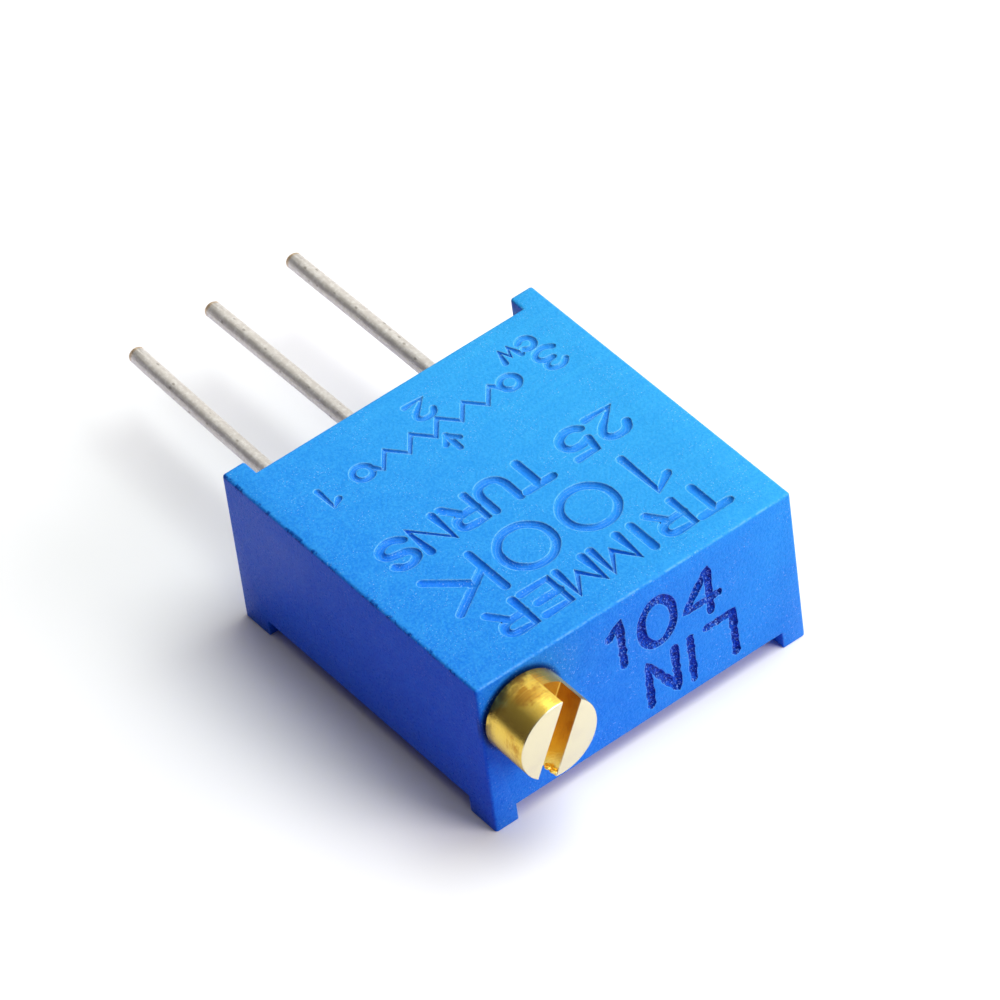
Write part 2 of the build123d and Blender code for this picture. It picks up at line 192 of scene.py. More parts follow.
# %% Camera
camera_place = Vector((-73.98, -119.625, 138.87)) * MM
camera_look = Vector((0.3829, 0.6055, -0.6977)).normalized()
camera_right = Vector((0.7842, -0.6123, -0.1010))
camera_right = (camera_right - camera_look * camera_right.dot(camera_look)).normalized()
camera_up = camera_right.cross(camera_look)
only(None)
bpy.ops.object.camera_add()
camera = bpy.context.object
camera.matrix_world = Matrix.Translation(camera_place) @ Matrix(
    (camera_right, camera_up, -camera_look)
).transposed().to_4x4()
focal_px, frame_px = 8046.84, 1000
camera.data.sensor_width = 36.0
camera.data.lens = focal_px / frame_px * camera.data.sensor_width
camera.data.clip_start, camera.data.clip_end = 0.01, 10.0
bpy.context.scene.camera = camera
print("lens in mm:", round(camera.data.lens, 1))

# %% [markdown]
# ## The case
# The case is one moulding: a block with a rail at each end of the terminals' side and four feet on its back. It could
# be several boxes joined, but a moulding has no seams, so it is one box that is divided where the feet start, and the
# rails and feet are drawn out of it. Every outer edge is then rounded a little, as a mould leaves it.

# %% Case: block, rails and feet
case = block("case_moulding", (-half_w, front_y, foot_h), (half_w, rear_y, top_z))
inner_x = half_w - foot_w
front_foot_y, rear_foot_y = front_y + foot_l, seat_y - foot_l
for point, normal in (
    ((inner_x, 0, 0), (1, 0, 0)),
    ((-inner_x, 0, 0), (1, 0, 0)),
    ((0, front_foot_y, 0), (0, 1, 0)),
    ((0, rear_foot_y, 0), (0, 1, 0)),
):
    pick(case, "FACE", everything)
    bpy.ops.mesh.bisect(plane_co=point, plane_no=normal, threshold=TINY)

pick(case, "FACE", lambda f: f.normal.y > 0.9 and abs(middle(f).x) > inner_x)
bpy.ops.mesh.extrude_region_move(TRANSFORM_OT_translate={"value": (0, foot_h, 0)})
pick(
    case,
    "FACE",
    lambda f: f.normal.z < -0.9
    and abs(middle(f).x) > inner_x
    and not front_foot_y < middle(f).y < rear_foot_y,
)
bpy.ops.mesh.extrude_region_move(TRANSFORM_OT_translate={"value": (0, 0, -foot_h)})
bpy.ops.mesh.select_all(action="SELECT")
bpy.ops.mesh.remove_doubles(threshold=TINY)
bpy.ops.mesh.dissolve_limited(angle_limit=math.radians(1))
print("case corners:", len(case.data.vertices))

# %% Case: rounded edges
edge_round, small_round = 0.08, 0.03


def convex_edge(edge):
    """True for an outer corner."""
    return len(edge.link_faces) == 2 and edge.is_convex and edge.calc_face_angle(0) > math.radians(60)


def upright(edge):
    """True for an edge along Z."""
    return abs((edge.verts[0].co - edge.verts[1].co).normalized().z) > 0.99


pick(
    case,
    "EDGE",
    lambda e: convex_edge(e) and (middle(e).z > top_z - TINY or (upright(e) and middle(e).z > foot_h)),
)
bpy.ops.mesh.bevel(offset=edge_round, segments=4, profile=0.5, clamp_overlap=True)
sharp = pick(case, "EDGE", convex_edge)
bpy.ops.mesh.bevel(offset=small_round, segments=2, profile=0.5, clamp_overlap=True)
print("small edges rounded:", sharp)

# %% [markdown]
# ### The room inside the case
# The case is hollow from the back: a space for the ceramic plate and the resin, over it a round pocket for the worm
# wheel with a post that the wheel turns on and a stop for its lug, and a long bore for the screw. They can't be seen
# from outside, but the moving pieces need the room, so each space is a cutter shaped like the room and taken away.
# A cutter reaches a little past the face that it opens, because faces that lie in one plane cut badly.

# %% Case: plate space, wheel pocket with post and stop
roof_z, plate_top, past = top_z - roof, plate_high.z, 0.2
stop_half_angle = math.radians(17)
pocket_r, post_r, stop_r = wheel_high.x + 0.2, 0.997, 1.625
hub_low_z, stop_low_z = 2.33, screw_z + 0.36
space_x, space_front_y, space_rear_y = inner_x - 0.005, front_y + wall, rear_y - wall
join_with(case, block("plate_space", (-space_x, space_front_y, foot_h - past), (space_x, space_rear_y, plate_top)))
pocket_low_z = plate_top - past
pocket = drum("pocket", (0, wheel_y, (roof_z + pocket_low_z) / 2), pocket_r, roof_z - pocket_low_z, "Z", 128)
join_with(pocket, drum("post", (0, wheel_y, hub_low_z + 2), post_r, 4, "Z", 64))
stop = drum("stop", (0, wheel_y, stop_low_z + 1), pocket_r + 0.3, 2, "Z", 128)
join_with(stop, drum("stop_inside", (0, wheel_y, stop_low_z + 1), stop_r, 4, "Z", 64))
for side in (1, -1):
    pick(stop, "FACE", everything)
    away = (side * math.cos(stop_half_angle), -math.sin(stop_half_angle), 0)
    bpy.ops.mesh.bisect(plane_co=(0, wheel_y, 0), plane_no=away, use_fill=True, clear_outer=True, threshold=TINY)
join_with(pocket, stop)
join_with(case, pocket)
print("case with its pocket:", len(case.data.polygons), "faces")

# %% Case: bores, retainer slot and the way out for the terminals
bore_r, bore_end, tail_bore_r, tail_end = 0.83, -1.833, 0.39, -0.835
neck_front_y, neck_rear_y, retainer_half_w = -6.4396, -6.1096, 0.79
retainer_low_z, retainer_high_z = 0.4, 3.93
solder_half_w, solder_front_y, solder_top = 3.11, -1.196, 2.6485
lead_xs = {1: -2.54, 2: 0.0, 3: 2.54}
slot_half, slot_top = 0.37, 2.3585
for name, start, end, bore, sides in (
    ("bore", front_y - 1, bore_end, bore_r, 64),
    ("tail_bore", bore_end - 0.1, tail_end, tail_bore_r, 48),
):
    join_with(case, drum(name, (screw_x, (start + end) / 2, screw_z), bore, end - start, "Y", sides))
for name, low, high in (
    (
        "retainer_slot",
        (screw_x - retainer_half_w, neck_front_y, retainer_low_z),
        (screw_x + retainer_half_w, neck_rear_y, retainer_high_z),
    ),
    (
        "solder_room",
        (-solder_half_w, solder_front_y, plate_top - past),
        (solder_half_w, rear_y - wall, solder_top),
    ),
):
    join_with(case, block(name, low, high))
for x in lead_xs.values():
    join_with(case, block("lead_way", (x - slot_half, rear_y - wall - 0.1, -1), (x + slot_half, rear_y + 1, slot_top)))
print("hollow case:", len(case.data.polygons), "faces")

# %% [markdown]
# ## Marks
# The top carries marks that the mould has pressed in: grooves with a round bottom, as a ball cutter leaves them.
# Filled letters would have flat floors and corners, so each letter is a few strokes, drawn as a thin round tube half
# sunk in the face and cut out of it. The marks here are generic: the kind of part, a resistance, the number of turns,
# and the usual diagram of the three terminals. The screw's face has a code burnt in by a laser, for the resistance
# and for a linear track, made the same way with a rougher tube.

# %% Strokes of the letters, in a box one unit high
ROUND = [(0.5 + 0.5 * math.cos(a * math.pi / 4), 0.5 + 0.5 * math.sin(a * math.pi / 4)) for a in range(8)]


def ring(x, y, width, height):
    """Closed oval with its lowest corner at a place."""
    return ("loop", [(x + width * a, y + height * b) for a, b in ROUND])


LETTERS = {
    "0": [ring(0, 0, 0.6, 1)],
    "1": [("line", [(0.12, 0.78), (0.34, 1), (0.34, 0)])],
    "2": [
        ("bend", [(0, 0.74), (0.1, 0.93), (0.3, 1), (0.5, 0.92), (0.57, 0.72), (0.46, 0.5)]),
        ("line", [(0.46, 0.5), (0, 0), (0.6, 0)]),
    ],
    "3": [
        ("bend", [(0.02, 0.84), (0.16, 0.98), (0.38, 0.98), (0.53, 0.8), (0.44, 0.6), (0.22, 0.53)]),
        ("bend", [(0.22, 0.53), (0.48, 0.46), (0.58, 0.26), (0.46, 0.05), (0.2, 0), (0, 0.15)]),
    ],
    "4": [("line", [(0.46, 0), (0.46, 1), (0, 0.3), (0.62, 0.3)])],
    "5": [
        ("line", [(0.55, 1), (0.1, 1), (0.05, 0.55)]),
        ("bend", [(0.05, 0.55), (0.3, 0.64), (0.53, 0.52), (0.57, 0.26), (0.4, 0.03), (0.14, 0.01), (0, 0.14)]),
    ],
    "C": [
        (
            "bend",
            [(0.6, 0.8), (0.42, 0.98), (0.2, 0.95), (0.03, 0.68), (0.03, 0.32), (0.2, 0.05), (0.42, 0.02), (0.6, 0.2)],
        )
    ],
    "E": [("line", [(0.58, 1), (0, 1), (0, 0), (0.6, 0)]), ("line", [(0, 0.52), (0.5, 0.52)])],
    "I": [("line", [(0.3, 1), (0.3, 0)])],
    "K": [("line", [(0, 1), (0, 0)]), ("line", [(0.58, 1), (0, 0.38)]), ("line", [(0.2, 0.6), (0.6, 0)])],
    "L": [("line", [(0, 1), (0, 0), (0.58, 0)])],
    "M": [("line", [(0, 0), (0, 1), (0.3, 0.35), (0.6, 1), (0.6, 0)])],
    "N": [("line", [(0, 0), (0, 1), (0.6, 0), (0.6, 1)])],
    "R": [
        ("line", [(0, 0), (0, 1), (0.32, 1)]),
        ("bend", [(0.32, 1), (0.5, 0.94), (0.57, 0.76), (0.5, 0.58), (0.32, 0.52)]),
        ("line", [(0, 0.52), (0.32, 0.52), (0.6, 0)]),
    ],
    "S": [
        ("bend", [(0.57, 0.82), (0.42, 0.98), (0.18, 0.98), (0.03, 0.8), (0.1, 0.6), (0.3, 0.52)]),
        ("bend", [(0.3, 0.52), (0.52, 0.42), (0.58, 0.22), (0.42, 0.02), (0.18, 0.01), (0, 0.17)]),
    ],
    "T": [("line", [(0, 1), (0.64, 1)]), ("line", [(0.32, 1), (0.32, 0)])],
    "U": [
        (
            "bend",
            [(0, 1), (0, 0.62), (0.01, 0.3), (0.1, 0.08), (0.3, 0), (0.5, 0.08), (0.59, 0.3), (0.6, 0.62), (0.6, 1)],
        )
    ],
    "W": [("line", [(0, 1), (0.2, 0), (0.4, 0.75), (0.6, 0), (0.8, 1)])],
    " ": [],
}
# width of a letter's box, the share of its room that a letter fills, and the letters that get less room
LETTER_W, FILL = 0.6, 0.74
NARROW = {" ": 0.5, "I": 0.6, "1": 0.75}
print("letters drawn:", len(LETTERS))

# %% Rows of letters, and tubes along their strokes


def lettered(words, width, height):
    """Strokes of a row of letters about its middle, with the letters spread over a width."""
    pitch = width / sum(NARROW.get(letter, 1) for letter in words)
    wide = pitch * FILL / LETTER_W
    strokes, left = [], -width / 2
    for letter in words:
        room = pitch * NARROW.get(letter, 1)
        start = left + room / 2 - wide * LETTER_W / 2
        for kind, points in LETTERS[letter]:
            strokes.append((kind, [(start + wide * x, height * (y - 0.5)) for x, y in points]))
        left += room
    return strokes


def moved(strokes, x, y):
    """The same strokes at another place."""
    return [(kind, [(a + x, b + y) for a, b in points]) for kind, points in strokes]


# how far past a stroke's end, and how wide there, both in radii
HALF_ROUND = ((0.5, 0.87), (0.87, 0.5), (1.0, 0.08))


def round_ended(points, radius):
    """Places and widths along an open stroke, with a half-round at each end."""

    def cap(end, before):
        ahead = (Vector(end) - Vector(before)).normalized() * radius
        return [(Vector(end) + ahead * out, width) for out, width in HALF_ROUND]

    return cap(points[0], points[1])[::-1] + [(Vector(p), 1) for p in points] + cap(points[-1], points[-2])


def stroke_tubes(name, strokes, radius, place, reading, up, uneven=0.0):
    """Round tubes along strokes on a face. Reading and up say which way the row and its letters' tops point."""
    line = bpy.data.curves.new(name, "CURVE")
    line.dimensions, line.bevel_depth, line.bevel_resolution = "3D", radius, 3
    line.use_fill_caps, line.resolution_u = True, 6
    reading, up, chance = Vector(reading), Vector(up), random.Random(name)
    for kind, points in strokes:
        knots = [(Vector(p), 1) for p in points] if kind == "loop" else round_ended(points, radius)
        spline = line.splines.new("BEZIER")
        spline.bezier_points.add(len(knots) - 1)
        spline.use_cyclic_u = kind == "loop"
        for knot, (at, width) in zip(spline.bezier_points, knots):
            knot.co = Vector(place) + reading * at.x + up * at.y
            knot.handle_left_type = knot.handle_right_type = "VECTOR" if kind == "line" else "AUTO"
            knot.radius = width * (1 + uneven * chance.uniform(-1, 1))
    piece = bpy.data.objects.new(name, line)
    bpy.context.scene.collection.objects.link(piece)
    only(piece)
    bpy.ops.object.convert(target="MESH")
    return bpy.context.object


print("a row of three letters has", len(lettered("LIN", 3, 1)), "strokes")

# %% Marks pressed into the top face
large_marks = (
    moved(lettered("TRIMMER", 6.9, 0.95), -0.25, 6.62)
    + moved(lettered("100K", 7.1, 1.45), 0.2, 4.95)
    + moved(lettered("25 TURNS", 7.4, 0.95), 0.1, 3.05)
)
small_marks = (
    moved(lettered("3", 0.8, 0.8), -3.5, 0.25)
    + moved(lettered("CW", 1.0, 0.42), -3.15, -0.55)
    + moved(lettered("2", 0.7, 0.65), -0.1, -0.5)
    + moved(lettered("1", 0.7, 0.7), 3.4, 0.35)
)
peaks = [(-1.8 + 0.4 * peak, 0.5 if peak % 2 else 0.0) for peak in range(10)]
zigzag = [(-2.0, 0.25)] + peaks + [(2.0, 0.25)]
small_marks += [("line", zigzag), ring(-2.5, 0.0, 0.5, 0.5), ring(2.0, 0.0, 0.5, 0.5)]
small_marks += [("line", [(0, 1.2), (0, 0.62)]), ("line", [(-0.2, 0.9), (0, 0.6), (0.2, 0.9)])]
mark_lift, mark_uneven = 0.18, 0.06
for name, strokes, groove_r in (("large_marks", large_marks, 0.130), ("small_marks", small_marks, 0.095)):
    place = (0, 0, top_z + groove_r * mark_lift)
    tubes = stroke_tubes(name, strokes, groove_r, place, (-1, 0, 0), (0, -1, 0), mark_uneven)
    join_with(case, tubes, own_crossings=True)
print("faces after the marks:", len(case.data.polygons))

# %% Code burnt into the screw's face
burn_r, burn_lift, burn_step, burn_uneven = 0.125, 0.03, 0.11, 0.22


def broken_up(strokes):
    """The same strokes with more points, so that their width can change along them."""
    finer = []
    for kind, points in strokes:
        if kind == "line":
            dense = [points[0]]
            for start, end in zip(points, points[1:]):
                steps = max(1, round(math.dist(start, end) / burn_step))
                for n in range(1, steps + 1):
                    dense.append(tuple(a + (b - a) * n / steps for a, b in zip(start, end)))
            points = dense
        finer.append((kind, points))
    return finer


def burnt_row(name, words, width, height, x, z, way):
    """A row of uneven strokes in the screw's face, upright where way is 1 and upside down where it is -1."""
    strokes = broken_up(lettered(words, width, height))
    place = (x, front_y - burn_lift, z)
    tubes = stroke_tubes(name, strokes, burn_r, place, (way, 0, 0), (0, 0, way), burn_uneven)
    return join_with(case, tubes, own_crossings=True)


burnt_row("code_upright", "104", 3.6, 1.4, 0.7, 3.42, 1)
burnt_row("code_inverted", "LIN", 2.9, 1.35, 1.4, 1.57, -1)
print("faces with the code:", len(case.data.polygons))

# %% [markdown]
# ## The adjusting screw
# The screw is one piece turned from brass bar: a slotted head outside, a shaft with a groove for the seal and a neck
# for the retainer, and a worm at the inner end. Like a lathe hand, this works along the axis: a disc is drawn out ring
# by ring, and each ring is given its radius. The corners of the head get an extra ring, because a turned edge is
# broken with a file.

# %% Screw: turned body


def turned(name, x, z, rings, sides=96):
    """Round piece about Y: a disc drawn out along Y, ring by ring, to places and radii."""
    only(None)
    (y, r), rest = rings[0], rings[1:]
    bpy.ops.mesh.primitive_circle_add(
        vertices=sides, radius=r, fill_type="NGON", location=(x, y, z), rotation=(math.pi / 2, 0, 0)
    )
    piece = bpy.context.object
    piece.name = name
    place_applied(piece)
    pick(piece, "FACE", everything)
    for next_y, next_r in rest:
        bpy.ops.mesh.extrude_region_move(TRANSFORM_OT_translate={"value": (0, next_y - y, 0)})
        bpy.ops.transform.resize(value=(next_r / r, 1, next_r / r), center_override=(x, next_y, z))
        y, r = next_y, next_r
    return closed(piece)


head_r, shaft_r, neck_r, core_r, break_w = 1.12, 0.80, 0.50, 0.36, 0.035
head_y, tail_y, head_back_y, shaft_end_y = screw_low.y, screw_high.y, front_y - 0.06, -5.18
groove_front_y, groove_rear_y = seal_low.y - 0.04, seal_high.y + 0.04
screw = turned(
    "turned_screw",
    screw_x,
    screw_z,
    [
        (head_y, head_r - break_w),
        (head_y + break_w * 0.3, head_r - break_w * 0.3),
        (head_y + break_w, head_r),
        (head_back_y - break_w, head_r),
        (head_back_y, head_r - break_w),
        (head_back_y, shaft_r),
        (groove_front_y, shaft_r),
        (groove_front_y, neck_r),
        (groove_rear_y, neck_r),
        (groove_rear_y, shaft_r),
        (neck_front_y, shaft_r),
        (neck_front_y, neck_r),
        (neck_rear_y, neck_r),
        (neck_rear_y, shaft_r),
        (shaft_end_y, shaft_r),
        (shaft_end_y, core_r),
        (tail_y - break_w, core_r),
        (tail_y, core_r - break_w),
    ],
)
print("turned screw:", len(screw.data.polygons), "faces")

# %% [markdown]
# ### Slot and worm thread
# The slot is milled right across the head, with a flat floor, and the mill has left a little burr at the lower end of
# its wall. The thread is a single right-hand ridge: one tooth's outline, carried round the axis by a Screw modifier,
# which climbs by one tooth pitch of the wheel in each turn.

# %% Screw: slot
slot_w, slot_d, slot_lean = 0.58, 0.78, math.radians(26.9)
lean_cos, lean_sin = math.cos(slot_lean), math.sin(slot_lean)
head_middle = Vector((screw_x, head_y, screw_z))
slot = block("slot", (-slot_w / 2, -1, -2), (slot_w / 2, slot_d, 2))
pick(slot, "EDGE", lambda e: middle(e).y > slot_d - TINY and upright(e))
bpy.ops.mesh.bevel(offset=0.06, segments=3)
only(slot)
slot.rotation_euler = (0, slot_lean, 0)
slot.location = head_middle
join_with(screw, place_applied(slot))
pick(
    screw,
    "EDGE",
    lambda e: middle(e).y < head_y + TINY
    and e.calc_face_angle(0) > math.radians(60)
    and (middle(e) - head_middle).length < head_r - 2 * break_w,
)
bpy.ops.mesh.bevel(offset=0.02, segments=2)
print("slotted screw:", len(screw.data.polygons), "faces")

# %% Screw: burr on the slot's wall
burr_r, burr_down = 0.04, 1.0
burr = [("bend", [(0.06, 0.0), (0.14, 0.09), (0.22, 0.02), (0.30, 0.11), (0.42, 0.0)])]
down, sideways = Vector((-lean_sin, 0, -lean_cos)), Vector((lean_cos, 0, -lean_sin))
burr_place = head_middle + sideways * slot_w / 2 + down * burr_down
join_with(screw, stroke_tubes("slot_burr", burr, burr_r, burr_place, (0, 1, 0), -sideways), "UNION")
print("screw with its burr:", len(screw.data.polygons), "faces")

# %% Screw: worm thread
thread_start, thread_end, thread_lead = -5.6448, -2.2076, 0.62832
thread_turn, steps_per_turn = math.radians(-1117.84), 40
crest_r, crest_half_w, root_r, root_half_w = 0.75, 0.0652, 0.31, 0.2254
only(None)
bpy.ops.mesh.primitive_plane_add(size=1, location=(0, 0, 0), rotation=(0, math.pi / 2, 0))
thread = bpy.context.object
thread.name = "worm_thread"
place_applied(thread)
bpy.ops.object.mode_set(mode="EDIT")
tooth = bmesh.from_edit_mesh(thread.data)
for corner in tooth.verts:
    r, half_width = (crest_r, crest_half_w) if corner.co.z > 0 else (root_r, root_half_w)
    corner.co = Vector((0, math.copysign(half_width, corner.co.y), r))
bmesh.update_edit_mesh(thread.data)
bpy.ops.mesh.select_all(action="SELECT")
bpy.ops.mesh.delete(type="ONLY_FACE")
only(thread)
turns = (thread_end - thread_start) / thread_lead
climb = thread.modifiers.new("climb", "SCREW")
climb.axis, climb.angle, climb.screw_offset = "Y", turns * 2 * math.pi, thread_end - thread_start
climb.steps = climb.render_steps = int(turns * steps_per_turn)
bpy.ops.object.modifier_apply(modifier=climb.name)
closed(thread)
thread.rotation_euler = (0, thread_turn, 0)
thread.location = (screw_x, thread_start, screw_z)
place_applied(thread)
print("thread faces:", len(thread.data.polygons), "turns:", round(turns, 2))
join_with(screw, thread, "UNION")

# %% [markdown]
# ## The three leads
# The leads are tinned copper wire. Inside the case the end is pressed flat to lie on its pad, and outside it was cut
# off with shears, which leaves a slightly pinched tip. A round disc is drawn out along the wire: the first rings are
# squeezed flat, the middle ones lean a little, because leads are never quite straight, and the last ones close to the
# tip.

# %% Leads
lead_r, lead_z, lead_tip_y = 0.23, 2.2604, node_box("terminal_1")[1].y
tab_half_w, tab_t, tab_z, tab_low_y = 0.31, 0.268, 2.0304, -0.647
lead_lean = {1: 0.11, 2: -0.06, 3: -0.04}


def drawn_wire(name, x, lean):
    """Wire along Y with a flattened inner end and a sheared tip that leans sideways.

    Each ring is a place along Y, a width and a height in radii, and a shift sideways and up.
    """
    only(None)
    bpy.ops.mesh.primitive_circle_add(
        vertices=32, radius=lead_r, fill_type="NGON", location=(x, tab_low_y, lead_z), rotation=(math.pi / 2, 0, 0)
    )
    wire = bpy.context.object
    wire.name = name
    place_applied(wire)
    flat_x, flat_z, drop = tab_half_w / lead_r, tab_t / 2 / lead_r, tab_z + tab_t / 2 - lead_z
    out = lead_tip_y - rear_y
    rings = [
        (tab_low_y, flat_x * 0.9, flat_z * 0.8, 0, drop),
        (tab_low_y + 0.05, flat_x, flat_z, 0, drop),
        (rear_y - 0.05, flat_x, flat_z, 0, drop),
        (rear_y + 0.12, 1.08, 0.9, 0, drop * 0.2),
        (rear_y + 0.4, 1, 1, 0, 0),
    ]
    for share in (0.2, 0.35, 0.5, 0.65, 0.8, 0.92):
        rings.append((rear_y + out * share, 1, 1, lean * share**1.6, 0))
    rings += [(lead_tip_y - 0.06, 0.99, 0.97, lean, 0), (lead_tip_y, 0.86, 0.78, lean, 0)]
    pick(wire, "FACE", everything)
    y, wide, high, shift, lift = tab_low_y, 1, 1, 0, 0
    for step, (next_y, next_wide, next_high, next_shift, next_lift) in enumerate(rings):
        move = (next_shift - shift, next_y - y, next_lift - lift)
        if step:
            bpy.ops.mesh.extrude_region_move(TRANSFORM_OT_translate={"value": move})
        else:
            bpy.ops.transform.translate(value=move)
        y, shift, lift = next_y, next_shift, next_lift
        centre = (x + shift, y, lead_z + lift)
        bpy.ops.transform.resize(value=(next_wide / wide, 1, next_high / high), center_override=centre)
        wide, high = next_wide, next_high
    return closed(wire)


leads = {number: drawn_wire(f"lead_{number}", x, lead_lean[number]) for number, x in lead_xs.items()}
print("leads:", [len(wire.data.polygons) for wire in leads.values()])

# %% [markdown]
# ## The resin in the back
# The open back is sealed with resin that was poured in while liquid. It creeps up the walls, so its surface is a
# shallow dish with a raised rim, and it fills the three ways that the leads come out by. One block is inset from its
# lower face and the middle is pushed in, then short plugs are joined to it and the leads are cut free of them.

# %% Resin
seep = 0.004
resin_top = plate_low.z - seep
resin = block(
    "back_resin",
    (-space_x + seep, space_front_y + seep, resin_low_z),
    (space_x - seep, space_rear_y - seep, resin_top),
)
pick(resin, "FACE", lambda f: f.normal.z < -0.9)
for step_in, step_up in ((0.12, 0.05), (0.3, 0.03), (0.8, 0.01)):
    bpy.ops.mesh.inset(thickness=step_in)
    bpy.ops.transform.translate(value=(0, 0, step_up))
for x in lead_xs.values():
    plug = block(
        "plug",
        (x - slot_half + seep, rear_y - wall - 0.3, resin_low_z + 0.04),
        (x + slot_half - seep, rear_y - 0.02, slot_top - seep),
    )
    pick(plug, "FACE", lambda f: f.normal.y > 0.9)
    bpy.ops.mesh.inset(thickness=0.06)
    bpy.ops.transform.translate(value=(0, -0.03, 0))
    hole_half_w = tab_half_w + seep
    join_with(plug, block("tab_hole", (x - hole_half_w, -1, tab_z - seep), (x + hole_half_w, 3, tab_z + tab_t + seep)))
    join_with(plug, drum("wire_hole", (x, rear_y + 0.4, lead_z), lead_r * 1.08, 1, "Y", 32))
    join_with(resin, block("plug_room", (x - slot_half, rear_y - wall - 0.31, tab_z), (x + slot_half, 3, 4)))
    join_with(resin, plug, "UNION")
print("resin:", len(resin.data.polygons), "faces")

# %% [markdown]
# ## Finishes as expressions
# A finish is a recipe of patterns, and it reads best as arithmetic. A Shade is a value in a node tree, and the usual
# operators on it add Math nodes. One method of the tree adds every other node. A Finish is the tree of a material with
# its shader. Patterns are laid in millimetres on the piece's own coordinates, so they stay put when the piece moves.

# %% Shade and Finish


class Shade:
    """A value in a node tree."""

    def __init__(self, nodes, socket):
        self.nodes, self.socket = nodes, socket

    def math(self, operation, *values):
        return self.nodes.node("ShaderNodeMath", {"operation": operation}, dict(enumerate(values)))

    def __add__(self, other):
        return self.math("ADD", self, other)

    def __sub__(self, other):
        return self.math("SUBTRACT", self, other)

    def __rsub__(self, other):
        return self.math("SUBTRACT", other, self)

    def __mul__(self, other):
        return self.math("MULTIPLY", self, other)

    __radd__, __rmul__ = __add__, __mul__

    def __abs__(self):
        return self.math("ABSOLUTE", self)

    def root(self):
        return self.math("SQRT", self)

    def between(self, low, high):
        """0 below low, 1 above high, and smooth from one to the other."""
        return self.nodes.node(
            "ShaderNodeMapRange",
            {"interpolation_type": "SMOOTHSTEP"},
            {"Value": self, "From Min": low, "From Max": high},
        )


class Nodes:
    """A node tree, with one method that adds any node."""

    def __init__(self, tree):
        self.tree = tree

    def node(self, kind, settings=None, values=None, output=0):
        """Any node: its settings first, then a value or a link for each named socket."""
        made = self.tree.nodes.new(kind)
        for setting, value in (settings or {}).items():
            if setting == "stops":
                for stop, (place, colour) in zip(made.color_ramp.elements, value):
                    stop.position, stop.color = place, (*colour, 1)
            else:
                setattr(made, setting, value)
        for socket, value in (values or {}).items():
            if isinstance(value, Shade):
                self.tree.links.new(value.socket, made.inputs[socket])
            else:
                made.inputs[socket].default_value = value
        return Shade(self, made.outputs[output])


class Finish(Nodes):
    """A material with one shader and helpers for its patterns."""

    def __init__(self, name, **constants):
        self.material = bpy.data.materials.new(name)
        self.material.use_nodes = True
        super().__init__(self.material.node_tree)
        self.shader = self.tree.nodes["Principled BSDF"]
        for socket, value in constants.items():
            self.shader.inputs[socket.replace("_", " ")].default_value = value
        here = self.node("ShaderNodeTexCoord", output="Object")
        self.point = self.node("ShaderNodeVectorMath", {"operation": "SCALE"}, {0: here, "Scale": 1 / MM})
        self.x, self.y, self.z = (self.node("ShaderNodeSeparateXYZ", {}, {0: self.point}, axis) for axis in "XYZ")

    def stretched(self, x, y, z):
        """The piece's coordinates with each axis multiplied, for streaks."""
        return self.node("ShaderNodeVectorMath", {"operation": "MULTIPLY"}, {0: self.point, 1: (x, y, z)})

    def noise(self, scale, detail=2.0, rough=0.5, where=None):
        """Cloudy pattern, with a scale in clouds per millimetre."""
        values = {"Vector": where or self.point, "Scale": scale, "Detail": detail, "Roughness": rough}
        return self.node("ShaderNodeTexNoise", {}, values)

    def cells(self, scale, where=None):
        """Distance to the nearest of scattered points, in spacings."""
        return self.node("ShaderNodeTexVoronoi", {}, {"Vector": where or self.point, "Scale": scale})

    def mix(self, share, colour, other):
        """From one colour to another by a share."""
        as_colour = lambda c: c if isinstance(c, Shade) else (*c, 1)
        values = {0: share, 6: as_colour(colour), 7: as_colour(other)}
        return self.node("ShaderNodeMix", {"data_type": "RGBA"}, values, 2)

    def bump(self, height, depth, under=None):
        """Normal of a height pattern whose full swing is a depth in millimetres."""
        values = {"Height": height, "Strength": 1.0, "Distance": depth * MM}
        if under:
            values["Normal"] = under
        return self.node("ShaderNodeBump", {}, values)

    def rounded(self, radius):
        """Normal as if every edge were rounded by a radius in millimetres."""
        return self.node("ShaderNodeBevel", {"samples": 6}, {"Radius": radius * MM})

    def edges(self, radius):
        """1 along edges and 0 on flats: how far that rounding turns the normal."""
        flat = self.node("ShaderNodeNewGeometry", output="Normal")
        both = {0: self.rounded(radius), 1: flat}
        alike = self.node("ShaderNodeVectorMath", {"operation": "DOT_PRODUCT"}, both, "Value")
        return (1 - alike).between(0.01, 0.16)

    def wear(self, **inputs):
        """Links patterns to the shader."""
        for socket, value in inputs.items():
            self.tree.links.new(value.socket, self.shader.inputs[socket.replace("_", " ")])
        return self.material
